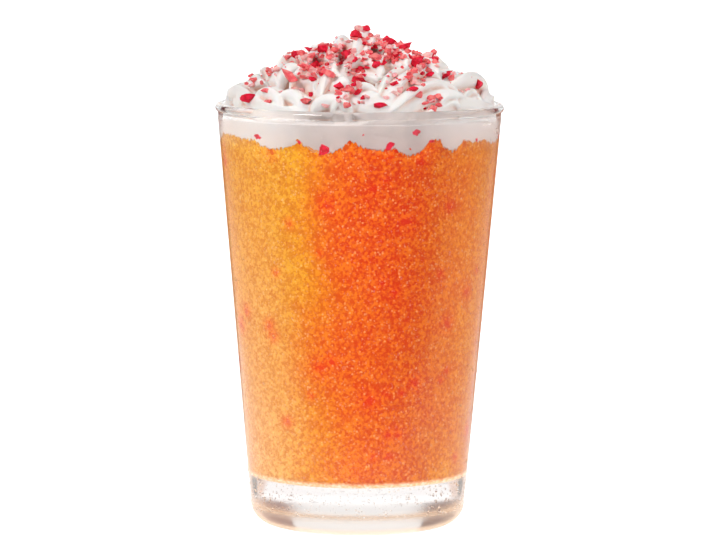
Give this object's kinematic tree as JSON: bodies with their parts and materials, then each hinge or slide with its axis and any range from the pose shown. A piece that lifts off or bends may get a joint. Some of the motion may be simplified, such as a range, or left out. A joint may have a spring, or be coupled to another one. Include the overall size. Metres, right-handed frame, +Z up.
{
  "type": "frozen slush drink",
  "caption": "Orange frozen slush in a clear tapered tumbler with a thick base, topped with piped whipped cream and scattered dried-fruit crumbs.",
  "frame": {"origin": "middle of the underside, on the surface the tumbler stands on", "axes": "+Z up along the tumbler's axis; -Y towards the viewer of the picture; +X to that viewer's right"},
  "size_m": [0.0914, 0.0914, 0.1591],
  "materials": {
    "glass": "clear pressed glass, polished, misted with fine condensation outside",
    "slush": null,
    "cream": null,
    "crumbs": null
  },
  "bodies": {
    "root": {"glass": "glass", "slush": "slush", "cream": "cream"}
  },
  "joints": []
}
